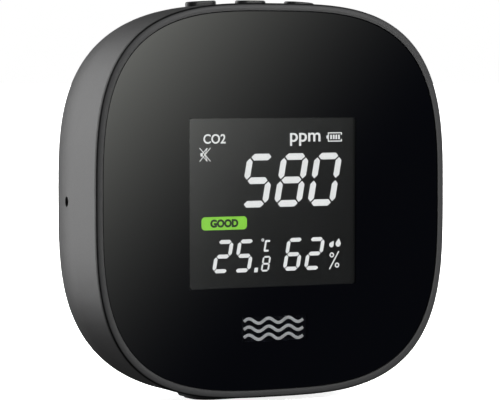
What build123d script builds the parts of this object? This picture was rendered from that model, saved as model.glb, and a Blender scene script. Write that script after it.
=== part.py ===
"""Desk monitor for carbon dioxide: a rounded-square housing with a glossy front and three keys on top.

The frame is X to the right, Y to the back and Z up, in millimetres. The origin is under the middle of the
housing, on the surface it stands on. Positions are given as across (X), depth (behind the front face) and
height (above the centre of the face).
"""

import os
from math import asin, cos, pi, sin

from build123d import *

os.makedirs("parts", exist_ok=True)

# Overall housing
case_size = 85.0  # width and height of the rounded square
case_depth = 32.0
corner_power = 3.2  # exponent of the rounded-square outline, where 2 is a circle
foot_drop = 1.0  # the monitor stands this far below the lowest point of the outline
wall = 2.0

# Side wall, from front to back: drafted, then a long gentle curve, then the rounded back edge
straight_depth = 11.3
wall_draft = 0.15
curve_radius = 40.0
back_edge_radius = 6.0
curve_steps = 5

# Front frame and window
rim_width = 1.55
rim_thickness = 0.7
rim_edge_radius = 0.42
parting_gap = 0.1
lap_thickness = 0.75  # housing lip that the frame's tongue slides into
lap_clearance = 0.1
lens_thickness = 1.0
lens_recess = 0.15
lens_clearance = 0.1
lens_edge_chamfer = 0.12
mask_thickness = 0.1
mask_margin = 0.35
adhesive_thickness = 0.2
shelf_thickness = 1.5

# Display
window_width = 40.4
window_height = 36.4
window_drop = 0.45  # the window's centre below the centre of the face
window_corner = 0.7
glass_side_margin = 2.2
glass_top_margin = 2.0
glass_bottom_margin = 4.8
glass_thickness = 1.9
glass_air_gap = 0.3
glass_clearance = 0.1
shelf_clearance = 0.25
guide_thickness = 2.6
guide_ledge = 0.5
guide_bottom_margin = 1.2
guide_clearance = 0.1
holder_wall = 1.3
holder_floor = 1.0
holder_gap = 0.1
strip_thickness = 2.0
strip_width = 42.0
strip_clearance = 0.1
strip_foot_margin = 0.2
peg_diameter = 1.8
peg_inset = 2.05  # from the edge of the light guide
peg_head = 0.4

# Main board
board_gap = 1.4  # holder's floor to board
board_thickness = 1.6
board_side_margin = 2.7  # board outside the bosses
board_top = 33.4
board_bottom = -33.0
board_corner = 8.0
hole_clearance = 0.1  # radial, where a peg or a screw passes a hole
boss_clearance = 0.3  # radial, where a boss passes the board
isolation_slot = 1.0
isolation_across = 4.0
isolation_height = 6.5

# Screws
screw_height = 20.0
holder_boss_gap = 1.2
screw_diameter = 2.6
screw_length = 12.0
screw_head_diameter = 4.8
screw_head_height = 1.8
screw_head_clearance = 0.2
screw_seat_depth = 21.0
screw_socket = 1.2
screw_grip = 4.0  # plastic under the head
thread_clearance = 0.05
boss_diameter = 6.0
screw_tube_diameter = 6.8
board_screw_across = 20.0
board_screw_heights = (27.5, -29.0)
board_screw_diameter = 2.0
board_screw_length = 6.0
board_screw_head_diameter = 3.8
board_screw_head_height = 1.4
board_post_diameter = 4.6

# Keys and switches
key_pitch = 12.15
key_length = 7.0
key_width = 4.0
key_stand = 0.8
key_gap = 0.15
key_edge_radius = 0.35
key_travel = 0.35
flange_overlap = 1.0
flange_thickness = 1.2
flange_drop = 3.1  # top of the flange below the top of the outline
key_stem_diameter = 3.0
switch_length = 6.0
switch_depth = 3.2
switch_height = 3.4
plunger_diameter = 2.4
plunger_fit = 0.05
plunger_stand = 1.0
plunger_inside = 1.0
plunger_spare = 0.25

# Port in the left wall
port_diameter = 2.2
port_depth = 16.0

# Charging socket in the right wall
usb_height = -8.0
usb_length = 7.4
usb_width = 8.94
usb_thickness = 3.26
usb_sheet = 0.3
usb_setback = 0.4  # socket mouth inside the wall's inner face
usb_tongue_width = 6.69
usb_tongue_thickness = 0.7
usb_tongue_length = 5.0
usb_base = 1.4
usb_opening_gap = 0.35
usb_recess_gap = 2.0
usb_recess_depth = 1.1
usb_tab_height = 12.0

# Carbon dioxide sensor
sensor_width = 34.0
sensor_height = 19.5
sensor_centre = 17.25
sensor_board_thickness = 1.2
pin_length = 2.6
pin_size = 0.64
pin_pitch = 2.54
pins_per_row = 5
pin_edge = 2.0
cell_width = 30.0
cell_height = 15.0
cell_depth = 6.6
cell_bevel = 1.5
filter_width = 14.0
filter_height = 8.0
filter_thickness = 0.4

# Battery
battery_width = 40.0
battery_height = 26.0
battery_thickness = 6.0
battery_centre = -6.0
battery_corner = 1.5
tape_width = 30.0
tape_height = 18.0
tape_thickness = 0.6
rib_length = 28.0
rib_thickness = 1.0
rib_depth = 3.0
rib_gap = 0.3
lead_diameter = 1.1
lead_pitch = 2.4
lead_bend = 5.5
plug_across = 27.5
plug_height = 7.0
plug_width = 4.2
plug_length = 5.6
plug_stand = 1.6
socket_wall = 0.7
socket_floor = 1.4
socket_gap = 0.05

# Small parts on the board
buzzer_across = -28.0
buzzer_diameter = 9.0
buzzer_height = 4.5
buzzer_hole = 1.6
buzzer_hole_depth = 1.0
controller_size = 7.0
controller_place = (-8.0, -9.0)
chip_height = 1.0
chip_places = (  # across, height, width, length
    (6.0, -10.0, 5.0, 4.0),
    (13.0, -22.0, 4.0, 3.0),
    (-12.0, -22.0, 6.0, 5.0),
    (21.0, 4.0, 3.0, 3.0),
)
capacitor_diameter = 4.0
capacitor_height = 5.4
capacitor_places = ((-3.0, -24.0), (4.0, -24.0), (14.0, -14.0))
climate_size = 2.5
climate_height = 0.9
climate_edge = 3.0

# Vents in the back
vent_columns = 9
vent_pitch = 4.2
vent_width = 1.8
upper_vent_length = 13.0
upper_vent_centre = 18.0
lower_vent_length = 5.6
lower_vent_centre = -24.2
screen_margin = 1.4
screen_thickness = 0.4

# Foot
foot_width = 30.4
foot_length = 12.5
foot_centre = 14.0
foot_corner = 5.0
foot_flare = 30.0  # degrees that the plinth's sides lean
pad_margin = 1.2
pad_stand = 0.5
pad_recess = 0.8

# Values that follow from the ones above
half = case_size / 2
centre_height = half + foot_drop
shelf_front = lens_recess + lens_thickness + mask_thickness + adhesive_thickness
shelf_back = shelf_front + shelf_thickness
tongue_half = half - lap_thickness - lap_clearance
lens_half = half - rim_width - lens_clearance
mask_front = lens_recess + lens_thickness
adhesive_front = mask_front + mask_thickness
cavity_half = half - wall
glass_front = adhesive_front + glass_air_gap
glass_back = glass_front + glass_thickness
glass_width = window_width + 2 * glass_side_margin
glass_height = window_height + glass_top_margin + glass_bottom_margin
glass_centre = (glass_top_margin - glass_bottom_margin) / 2 - window_drop
guide_back = glass_back + guide_thickness
guide_width = glass_width - 2 * guide_ledge
guide_top = window_height / 2 + glass_top_margin - guide_ledge - window_drop
guide_bottom = -window_height / 2 - guide_bottom_margin - window_drop
holder_front = shelf_back + holder_gap
shelf_opening_width = glass_width + 2 * shelf_clearance
shelf_opening_height = glass_height + 2 * shelf_clearance
holder_floor_back = guide_back + holder_floor
board_front = holder_floor_back + board_gap
board_back = board_front + board_thickness
strip_centre = glass_centre - glass_height / 2 + strip_foot_margin + strip_thickness / 2
boss_end = screw_seat_depth - screw_grip
key_depth = board_back + switch_depth / 2
flange_top = half - flange_drop
flange_bottom = flange_top - flange_thickness
plunger_top = board_top + plunger_stand
back_inside = case_depth - wall
sensor_board_front = board_back + pin_length
cell_front = sensor_board_front + sensor_board_thickness
filter_front = cell_front + cell_depth
tape_front = back_inside - tape_thickness
battery_front = tape_front - battery_thickness
lead_depth = battery_front + battery_thickness / 2
plug_front = board_back + socket_floor
plug_back = plug_front + plug_length
socket_width = plug_width + 2 * socket_gap
socket_height = plug_height + 2 * socket_gap
plinth_bottom = -centre_height + pad_stand
pad_width = foot_width - 2 * pad_margin
pad_length = foot_length - 2 * pad_margin
holder_half_width = glass_width / 2 + glass_clearance + holder_wall
screw_across = holder_half_width + holder_boss_gap + boss_diameter / 2
board_width = 2 * (screw_across + boss_diameter / 2 + boss_clearance + board_side_margin)
boss_places = [(x, z) for x in (-screw_across, screw_across) for z in (-screw_height, screw_height)]
board_screw_places = [(x, z) for x in (-board_screw_across, board_screw_across) for z in board_screw_heights]
peg_places = [
    (side * (guide_width / 2 - peg_inset), height)
    for side in (-1, 1)
    for height in (guide_bottom + peg_inset, guide_top - peg_inset)
]
key_names = {"left": -key_pitch, "middle": 0.0, "right": key_pitch}

# Depth and inset of the back edge's centre of curvature, and the angle where the long curve meets it
edge_centre_depth = case_depth - back_edge_radius
meeting_angle = asin((edge_centre_depth - straight_depth) / (curve_radius - back_edge_radius))
edge_centre_inset = curve_radius - (curve_radius - back_edge_radius) * cos(meeting_angle)


def face_plane(depth):
    """Plane parallel to the face, seen from the front: across and height. Its normal points to the front."""
    return Plane(origin=(0, depth - case_depth / 2, centre_height), x_dir=(1, 0, 0), z_dir=(0, -1, 0))


def level_plane(height):
    """Horizontal plane: across and depth. Its normal points up."""
    return Plane(origin=(0, -case_depth / 2, centre_height + height), x_dir=(1, 0, 0), z_dir=(0, 0, 1))


def side_plane(across):
    """Plane parallel to the side walls: depth and height. Its normal points to the right."""
    return Plane(origin=(across, -case_depth / 2, centre_height), x_dir=(0, 1, 0), z_dir=(1, 0, 0))


def rounded_square(half_size, steps=64):
    """Face with the housing's outline at a given half size, |x|**n + |z|**n = half_size**n."""
    points = []
    for step in range(steps):
        angle = 2 * pi * step / steps
        span = abs(cos(angle)) ** corner_power + abs(sin(angle)) ** corner_power
        reach = half_size * span ** (-1 / corner_power)
        points.append((reach * cos(angle), reach * sin(angle)))
    with BuildLine() as outline:
        Spline(*points, periodic=True)
    make_face(outline.edges())


def case_body(skin, front):
    """The housing's outer shape, or its cavity, from the front depth to the back, skin inside the surface."""
    long_radius = curve_radius - skin
    edge_radius = back_edge_radius - skin
    long_curve = []
    for step in range(curve_steps + 1):
        angle = meeting_angle * step / curve_steps
        long_curve.append((straight_depth + long_radius * sin(angle), long_radius * cos(angle) - curve_radius))
    back_edge = []
    for step in range(curve_steps + 1):
        angle = meeting_angle + (pi / 2 - meeting_angle) * step / curve_steps
        depth = edge_centre_depth + edge_radius * sin(angle)
        back_edge.append((depth, edge_radius * cos(angle) - edge_centre_inset))
    with BuildPart() as body:
        with BuildSketch(face_plane(front)):
            rounded_square(half - skin)
        with BuildSketch(face_plane(straight_depth)):
            rounded_square(half - skin - wall_draft)
        loft(ruled=True)
        for stations in (long_curve, back_edge):
            for depth, outset in stations:
                with BuildSketch(face_plane(depth)):
                    rounded_square(half - wall_draft + outset)
            loft()
    return body.part


# ---- Rear housing: side wall and back in one moulding ----

vent_places = [((column - (vent_columns - 1) / 2) * vent_pitch, 0) for column in range(vent_columns)]
outer_body = case_body(0, rim_thickness + parting_gap)
cavity = case_body(wall, 0)

with BuildPart() as rear_housing:
    add(outer_body)
    # Plinth of the foot, flared up into the wall
    with BuildSketch(level_plane(plinth_bottom)):
        with Locations((0, foot_centre)):
            RectangleRounded(foot_width, foot_length, foot_corner)
    extrude(amount=wall + foot_drop, taper=-foot_flare)
    add(cavity, mode=Mode.SUBTRACT)
    # Rebate that the frame's tongue slides into
    with BuildSketch(face_plane(shelf_back)):
        rounded_square(half - lap_thickness)
    extrude(amount=shelf_back, mode=Mode.SUBTRACT)
    # Screw tubes inside the back, reaching the frame's bosses
    with BuildSketch(face_plane(back_inside)):
        with Locations(*boss_places):
            Circle(screw_tube_diameter / 2)
    extrude(amount=back_inside - boss_end)
    # Ribs that hold the battery from above and below
    with BuildSketch(face_plane(back_inside)):
        for side in (-1, 1):
            offset_height = side * (battery_height / 2 + rib_gap + rib_thickness / 2)
            with Locations((0, battery_centre + offset_height)):
                Rectangle(rib_length, rib_thickness)
    extrude(amount=rib_depth)
    # Screw holes with deep counterbores
    with BuildSketch(face_plane(case_depth)):
        with Locations(*boss_places):
            Circle(screw_diameter / 2 + hole_clearance * 2)
    extrude(amount=case_depth - boss_end, mode=Mode.SUBTRACT)
    with BuildSketch(face_plane(case_depth)):
        with Locations(*boss_places):
            Circle(screw_head_diameter / 2 + screw_head_clearance)
    extrude(amount=case_depth - screw_seat_depth, mode=Mode.SUBTRACT)
    # Vents
    with BuildSketch(face_plane(case_depth)):
        with Locations((0, upper_vent_centre)):
            with Locations(*vent_places):
                SlotOverall(upper_vent_length, vent_width, rotation=90)
        with Locations((0, lower_vent_centre)):
            with Locations(*vent_places):
                SlotOverall(lower_vent_length, vent_width, rotation=90)
    extrude(amount=wall, mode=Mode.SUBTRACT)
    # Openings for the three keys
    with BuildSketch(level_plane(half + key_stand)):
        with Locations(*[(across, key_depth) for across in key_names.values()]):
            SlotOverall(key_length + 2 * key_gap, key_width + 2 * key_gap)
    extrude(amount=-(key_stand + 2 * wall), mode=Mode.SUBTRACT)
    # Round port in the left wall
    with BuildSketch(side_plane(-half)):
        with Locations((port_depth, 0)):
            Circle(port_diameter / 2)
    extrude(amount=2 * wall, mode=Mode.SUBTRACT)
    # Opening and plug recess of the charging socket in the right wall
    usb_centre = (board_back + usb_thickness / 2, usb_height)
    with BuildSketch(side_plane(half)):
        with Locations(usb_centre):
            SlotOverall(usb_width + 2 * usb_opening_gap, usb_thickness + 2 * usb_opening_gap, rotation=90)
    extrude(amount=-2 * wall, mode=Mode.SUBTRACT)
    with BuildSketch(side_plane(half)):
        with Locations(usb_centre):
            SlotOverall(usb_width + 2 * usb_recess_gap, usb_thickness + 2 * usb_recess_gap, rotation=90)
    extrude(amount=-usb_recess_depth, mode=Mode.SUBTRACT)
    # Recess for the foot's pad
    with BuildSketch(level_plane(plinth_bottom)):
        with Locations((0, foot_centre)):
            RectangleRounded(pad_width, pad_length, foot_corner - pad_margin)
    extrude(amount=pad_recess, mode=Mode.SUBTRACT)
rear_housing.part.label = "rear_housing"
export_step(rear_housing.part, "parts/rear_housing.step")

with BuildPart() as foot_pad:
    with BuildSketch(level_plane(-centre_height)):
        with Locations((0, foot_centre)):
            RectangleRounded(pad_width, pad_length, foot_corner - pad_margin)
    extrude(amount=pad_stand + pad_recess)
foot_pad.part.label = "foot_pad"
export_step(foot_pad.part, "parts/foot_pad.step")

# ---- Front frame and window ----

with BuildPart() as front_frame:
    with BuildSketch(face_plane(rim_thickness)):
        rounded_square(half)
    extrude(amount=rim_thickness)
    fillet(front_frame.faces().sort_by(Axis.Y)[0].edges(), rim_edge_radius)
    with BuildSketch(face_plane(shelf_back)):
        rounded_square(tongue_half)
    extrude(amount=shelf_back - rim_thickness / 2)
    # Pocket for the window
    with BuildSketch(face_plane(shelf_front)):
        rounded_square(lens_half + lens_clearance)
    extrude(amount=shelf_front, mode=Mode.SUBTRACT)
    # Opening in the shelf for the display's glass
    with BuildSketch(face_plane(shelf_back)):
        with Locations((0, glass_centre)):
            Rectangle(shelf_opening_width, shelf_opening_height)
    extrude(amount=shelf_back, mode=Mode.SUBTRACT)
    # Bosses for the housing screws and posts for the board screws
    with BuildSketch(face_plane(boss_end)):
        with Locations(*boss_places):
            Circle(boss_diameter / 2)
    extrude(amount=boss_end - shelf_back)
    with BuildSketch(face_plane(board_front)):
        with Locations(*board_screw_places):
            Circle(board_post_diameter / 2)
    extrude(amount=board_front - shelf_back)
    with BuildSketch(face_plane(boss_end)):
        with Locations(*boss_places):
            Circle(screw_diameter / 2 + thread_clearance)
    extrude(amount=screw_length - screw_grip + thread_clearance, mode=Mode.SUBTRACT)
    with BuildSketch(face_plane(board_front)):
        with Locations(*board_screw_places):
            Circle(board_screw_diameter / 2 + thread_clearance)
    extrude(amount=board_front - shelf_back, mode=Mode.SUBTRACT)
front_frame.part.label = "front_frame"
export_step(front_frame.part, "parts/front_frame.step")

with BuildPart() as front_lens:
    with BuildSketch(face_plane(mask_front)):
        rounded_square(lens_half)
    extrude(amount=lens_thickness)
    chamfer(front_lens.faces().sort_by(Axis.Y)[0].edges(), lens_edge_chamfer)
front_lens.part.label = "front_lens"
export_step(front_lens.part, "parts/front_lens.step")

with BuildPart() as lens_mask:
    with BuildSketch(face_plane(adhesive_front)):
        rounded_square(lens_half - mask_margin)
        with Locations((0, -window_drop)):
            RectangleRounded(window_width, window_height, window_corner, mode=Mode.SUBTRACT)
    extrude(amount=mask_thickness)
lens_mask.part.label = "lens_mask"
export_step(lens_mask.part, "parts/lens_mask.step")

with BuildPart() as lens_adhesive:
    with BuildSketch(face_plane(shelf_front)):
        rounded_square(lens_half - mask_margin)
        with Locations((0, glass_centre)):
            Rectangle(shelf_opening_width, shelf_opening_height, mode=Mode.SUBTRACT)
    extrude(amount=adhesive_thickness)
lens_adhesive.part.label = "lens_adhesive"
export_step(lens_adhesive.part, "parts/lens_adhesive.step")

# ---- Display ----

with BuildPart() as lcd_panel:
    with BuildSketch(face_plane(glass_back)):
        with Locations((0, glass_centre)):
            Rectangle(glass_width, glass_height)
    extrude(amount=glass_thickness)
lcd_panel.part.label = "lcd_panel"
export_step(lcd_panel.part, "parts/lcd_panel.step")

guide_centre = (guide_top + guide_bottom) / 2
guide_height = guide_top - guide_bottom

with BuildPart() as lcd_backlight:
    with BuildSketch(face_plane(guide_back)):
        with Locations((0, guide_centre)):
            Rectangle(guide_width - 2 * guide_clearance, guide_height - 2 * guide_clearance)
    extrude(amount=guide_thickness)
lcd_backlight.part.label = "lcd_backlight"
export_step(lcd_backlight.part, "parts/lcd_backlight.step")

with BuildPart() as lcd_holder:
    pocket_width = glass_width + 2 * glass_clearance
    pocket_height = glass_height + 2 * glass_clearance
    with BuildSketch(face_plane(board_front)):
        with Locations((0, glass_centre)):
            Rectangle(pocket_width + 2 * holder_wall, pocket_height + 2 * holder_wall)
            Rectangle(pocket_width, pocket_height, mode=Mode.SUBTRACT)
    extrude(amount=board_front - holder_front)
    # Floor that fills the tray up to the seat of the glass
    with BuildSketch(face_plane(holder_floor_back)):
        with Locations((0, glass_centre)):
            Rectangle(pocket_width + holder_wall, pocket_height + holder_wall)
    extrude(amount=holder_floor_back - glass_back)
    # Pocket for the light guide and slot for the contact strip
    with BuildSketch(face_plane(guide_back)):
        with Locations((0, guide_centre)):
            Rectangle(guide_width, guide_height)
    extrude(amount=guide_thickness, mode=Mode.SUBTRACT)
    with BuildSketch(face_plane(board_front)):
        with Locations((0, strip_centre)):
            Rectangle(strip_width + 2 * strip_clearance, strip_thickness + 2 * strip_clearance)
    extrude(amount=board_front - glass_back, mode=Mode.SUBTRACT)
    # Pegs through the board, with melted heads behind it
    with BuildSketch(face_plane(board_back + peg_head)):
        with Locations(*peg_places):
            Circle(peg_diameter / 2)
    extrude(amount=board_back + peg_head - holder_floor_back)
    with BuildSketch(face_plane(board_back + peg_head)):
        with Locations(*peg_places):
            Circle(peg_diameter * 3 / 4)
    extrude(amount=peg_head)
lcd_holder.part.label = "lcd_holder"
export_step(lcd_holder.part, "parts/lcd_holder.step")

with BuildPart() as lcd_contact_strip:
    with BuildSketch(face_plane(board_front)):
        with Locations((0, strip_centre)):
            Rectangle(strip_width, strip_thickness)
    extrude(amount=board_front - glass_back)
lcd_contact_strip.part.label = "lcd_contact_strip"
export_step(lcd_contact_strip.part, "parts/lcd_contact_strip.step")

# ---- Main board and what is soldered on it ----

board_centre = (board_top + board_bottom) / 2
usb_mouth = cavity_half - wall_draft - usb_setback
usb_inner_width = usb_width - 2 * usb_sheet
usb_inner_thickness = usb_thickness - 2 * usb_sheet

with BuildPart() as main_board:
    with BuildSketch(face_plane(board_back)):
        with Locations((0, board_centre)):
            RectangleRounded(board_width, board_top - board_bottom, board_corner)
        # Tab under the charging socket
        with Locations((usb_mouth / 2, usb_height)):
            Rectangle(usb_mouth, usb_tab_height)
        with Locations(*boss_places):
            Circle(boss_diameter / 2 + boss_clearance, mode=Mode.SUBTRACT)
        with Locations(*board_screw_places):
            Circle(board_screw_diameter / 2 + hole_clearance, mode=Mode.SUBTRACT)
        with Locations(*peg_places):
            Circle(peg_diameter / 2 + hole_clearance, mode=Mode.SUBTRACT)
        # Slots that keep the board's warmth away from the climate sensor
        with Locations(*[(side * isolation_across, board_bottom + isolation_height / 2) for side in (-1, 1)]):
            Rectangle(isolation_slot, isolation_height, mode=Mode.SUBTRACT)
    extrude(amount=board_thickness)
main_board.part.label = "main_board"
export_step(main_board.part, "parts/main_board.step")

with BuildPart() as main_board_screws:
    with BuildSketch(face_plane(board_back + board_screw_head_height)):
        with Locations(*board_screw_places):
            Circle(board_screw_head_diameter / 2)
    extrude(amount=board_screw_head_height)
    with BuildSketch(face_plane(board_back)):
        with Locations(*board_screw_places):
            Circle(board_screw_diameter / 2)
    extrude(amount=board_screw_length)
    with BuildSketch(face_plane(board_back + board_screw_head_height)):
        with Locations(*board_screw_places):
            RegularPolygon(screw_socket, 6)
    extrude(amount=board_screw_head_height / 2, mode=Mode.SUBTRACT)
main_board_screws.part.label = "main_board_screws"
export_step(main_board_screws.part, "parts/main_board_screws.step")

with BuildPart() as microcontroller:
    with BuildSketch(face_plane(board_back + chip_height)):
        with Locations(controller_place):
            Rectangle(controller_size, controller_size)
    extrude(amount=chip_height)
microcontroller.part.label = "microcontroller"
export_step(microcontroller.part, "parts/microcontroller.step")

with BuildPart() as board_chips:
    with BuildSketch(face_plane(board_back + chip_height)):
        for across, height, chip_width, chip_length in chip_places:
            with Locations((across, height)):
                Rectangle(chip_width, chip_length)
    extrude(amount=chip_height)
board_chips.part.label = "board_chips"
export_step(board_chips.part, "parts/board_chips.step")

with BuildPart() as board_capacitors:
    with BuildSketch(face_plane(board_back + capacitor_height)):
        with Locations(*capacitor_places):
            Circle(capacitor_diameter / 2)
    extrude(amount=capacitor_height)
board_capacitors.part.label = "board_capacitors"
export_step(board_capacitors.part, "parts/board_capacitors.step")

with BuildPart() as climate_sensor:
    with BuildSketch(face_plane(board_back + climate_height)):
        with Locations((0, board_bottom + climate_edge)):
            Rectangle(climate_size, climate_size)
    extrude(amount=climate_height)
climate_sensor.part.label = "climate_sensor"
export_step(climate_sensor.part, "parts/climate_sensor.step")

with BuildPart() as buzzer:
    with BuildSketch(face_plane(board_back + buzzer_height)):
        with Locations((buzzer_across, 0)):
            Circle(buzzer_diameter / 2)
    extrude(amount=buzzer_height)
    with BuildSketch(face_plane(board_back + buzzer_height)):
        with Locations((buzzer_across, 0)):
            Circle(buzzer_hole / 2)
    extrude(amount=buzzer_hole_depth, mode=Mode.SUBTRACT)
buzzer.part.label = "buzzer"
export_step(buzzer.part, "parts/buzzer.step")

# ---- Charging socket ----

with BuildPart() as usb_shell:
    with BuildSketch(side_plane(usb_mouth)):
        with Locations(usb_centre):
            SlotOverall(usb_width, usb_thickness, rotation=90)
            SlotOverall(usb_inner_width, usb_inner_thickness, rotation=90, mode=Mode.SUBTRACT)
    extrude(amount=-usb_length)
usb_shell.part.label = "usb_shell"
export_step(usb_shell.part, "parts/usb_shell.step")

with BuildPart() as usb_tongue:
    with BuildSketch(side_plane(usb_mouth - usb_length)):
        with Locations(usb_centre):
            SlotOverall(usb_inner_width, usb_inner_thickness, rotation=90)
    extrude(amount=usb_base)
    with BuildSketch(side_plane(usb_mouth - usb_length)):
        with Locations(usb_centre):
            Rectangle(usb_tongue_thickness, usb_tongue_width)
    extrude(amount=usb_base + usb_tongue_length)
usb_tongue.part.label = "usb_tongue"
export_step(usb_tongue.part, "parts/usb_tongue.step")

# ---- Carbon dioxide sensor module ----

with BuildPart() as co2_sensor_pins:
    with BuildSketch(face_plane(sensor_board_front)):
        with Locations((0, sensor_centre)):
            with GridLocations(sensor_width - 2 * pin_edge, pin_pitch, 2, pins_per_row):
                Rectangle(pin_size, pin_size)
    extrude(amount=pin_length)
co2_sensor_pins.part.label = "co2_sensor_pins"
export_step(co2_sensor_pins.part, "parts/co2_sensor_pins.step")

with BuildPart() as co2_sensor_board:
    with BuildSketch(face_plane(cell_front)):
        with Locations((0, sensor_centre)):
            Rectangle(sensor_width, sensor_height)
    extrude(amount=sensor_board_thickness)
co2_sensor_board.part.label = "co2_sensor_board"
export_step(co2_sensor_board.part, "parts/co2_sensor_board.step")

with BuildPart() as co2_sensor_cell:
    with BuildSketch(face_plane(filter_front)):
        with Locations((0, sensor_centre)):
            Rectangle(cell_width, cell_height)
    extrude(amount=cell_depth)
    chamfer(co2_sensor_cell.faces().sort_by(Axis.Y)[-1].edges(), cell_bevel)
co2_sensor_cell.part.label = "co2_sensor_cell"
export_step(co2_sensor_cell.part, "parts/co2_sensor_cell.step")

with BuildPart() as co2_sensor_filter:
    with BuildSketch(face_plane(filter_front + filter_thickness)):
        with Locations((0, sensor_centre)):
            Rectangle(filter_width, filter_height)
    extrude(amount=filter_thickness)
co2_sensor_filter.part.label = "co2_sensor_filter"
export_step(co2_sensor_filter.part, "parts/co2_sensor_filter.step")

# ---- Battery, its tape and its connection ----

with BuildPart() as battery:
    with BuildSketch(face_plane(tape_front)):
        with Locations((0, battery_centre)):
            Rectangle(battery_width, battery_height)
    extrude(amount=battery_thickness)
    fillet(battery.edges().filter_by(Axis.Z), battery_corner)
battery.part.label = "battery"
export_step(battery.part, "parts/battery.step")

with BuildPart() as battery_tape:
    with BuildSketch(face_plane(back_inside)):
        with Locations((0, battery_centre)):
            Rectangle(tape_width, tape_height)
    extrude(amount=tape_thickness)
battery_tape.part.label = "battery_tape"
export_step(battery_tape.part, "parts/battery_tape.step")

with BuildPart() as battery_leads:
    for side in (-1, 1):
        lead_height = battery_centre + side * lead_pitch / 2
        with BuildLine(level_plane(lead_height)):
            FilletPolyline(
                (battery_width / 2, lead_depth),
                (plug_across, lead_depth),
                (plug_across, plug_back),
                radius=lead_bend,
            )
        with BuildSketch(side_plane(battery_width / 2)):
            with Locations((lead_depth, lead_height)):
                Circle(lead_diameter / 2)
        sweep()
battery_leads.part.label = "battery_leads"
export_step(battery_leads.part, "parts/battery_leads.step")

with BuildPart() as battery_plug:
    with BuildSketch(face_plane(plug_back)):
        with Locations((plug_across, battery_centre)):
            Rectangle(plug_width, plug_height)
    extrude(amount=plug_length)
battery_plug.part.label = "battery_plug"
export_step(battery_plug.part, "parts/battery_plug.step")

with BuildPart() as battery_socket:
    with BuildSketch(face_plane(plug_back - plug_stand)):
        with Locations((plug_across, battery_centre)):
            Rectangle(socket_width + 2 * socket_wall, socket_height + 2 * socket_wall)
    extrude(amount=plug_back - plug_stand - board_back)
    with BuildSketch(face_plane(plug_back - plug_stand)):
        with Locations((plug_across, battery_centre)):
            Rectangle(socket_width, socket_height)
    extrude(amount=plug_length - plug_stand, mode=Mode.SUBTRACT)
battery_socket.part.label = "battery_socket"
export_step(battery_socket.part, "parts/battery_socket.step")

# ---- Dust screen behind the upper vents, and the housing's screws ----

with BuildPart() as dust_screen:
    screen_width = (vent_columns - 1) * vent_pitch + vent_width + 2 * screen_margin
    with BuildSketch(face_plane(back_inside)):
        with Locations((0, upper_vent_centre)):
            Rectangle(screen_width, upper_vent_length + 2 * screen_margin)
    extrude(amount=screen_thickness)
dust_screen.part.label = "dust_screen"
export_step(dust_screen.part, "parts/dust_screen.step")

with BuildPart() as housing_screws:
    with BuildSketch(face_plane(screw_seat_depth + screw_head_height)):
        with Locations(*boss_places):
            Circle(screw_head_diameter / 2)
    extrude(amount=screw_head_height)
    with BuildSketch(face_plane(screw_seat_depth)):
        with Locations(*boss_places):
            Circle(screw_diameter / 2)
    extrude(amount=screw_length)
    with BuildSketch(face_plane(screw_seat_depth + screw_head_height)):
        with Locations(*boss_places):
            RegularPolygon(screw_socket, 6)
    extrude(amount=screw_head_height / 2, mode=Mode.SUBTRACT)
housing_screws.part.label = "housing_screws"
export_step(housing_screws.part, "parts/housing_screws.step")

# ---- Switches on the board's top edge, and the keys that press them ----

with BuildPart() as tact_switches:
    with BuildSketch(level_plane(board_top)):
        with Locations(*[(across, key_depth) for across in key_names.values()]):
            Rectangle(switch_length, switch_depth)
    extrude(amount=-switch_height)
    with BuildSketch(level_plane(board_top)):
        with Locations(*[(across, key_depth) for across in key_names.values()]):
            Circle(plunger_diameter / 2 + plunger_fit)
    extrude(amount=-(plunger_inside + key_travel + plunger_spare), mode=Mode.SUBTRACT)
tact_switches.part.label = "tact_switches"
export_step(tact_switches.part, "parts/tact_switches.step")

for key_name, key_across in key_names.items():
    with BuildPart() as switch_plunger:
        with BuildSketch(level_plane(board_top - plunger_inside)):
            with Locations((key_across, key_depth)):
                Circle(plunger_diameter / 2)
        extrude(amount=plunger_inside + plunger_stand)
    switch_plunger.part.label = f"switch_plunger_{key_name}"
    export_step(switch_plunger.part, f"parts/switch_plunger_{key_name}.step")

    with BuildPart() as button:
        # Cap, cut off along the housing's outline so that it stands out evenly
        with BuildSketch(level_plane(flange_bottom)):
            with Locations((key_across, key_depth)):
                SlotOverall(key_length, key_width)
        extrude(amount=2 * half)
        with BuildSketch(face_plane(case_depth)):
            rounded_square(half + key_stand)
        extrude(amount=case_depth, mode=Mode.INTERSECT)
        fillet(button.faces().sort_by(Axis.Z)[-1].edges(), key_edge_radius)
        # Flange that keeps the key in, and the stem that presses the switch
        with BuildSketch(level_plane(flange_bottom)):
            with Locations((key_across, key_depth)):
                SlotOverall(key_length + 2 * flange_overlap, key_width + 2 * flange_overlap)
        extrude(amount=flange_thickness)
        with BuildSketch(level_plane(plunger_top)):
            with Locations((key_across, key_depth)):
                Circle(key_stem_diameter / 2)
        extrude(amount=flange_bottom - plunger_top)
    button.part.label = f"button_{key_name}"
    export_step(button.part, f"parts/button_{key_name}.step")
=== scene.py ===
import math

import bmesh
import bpy
from mathutils import Matrix, Vector


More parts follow.
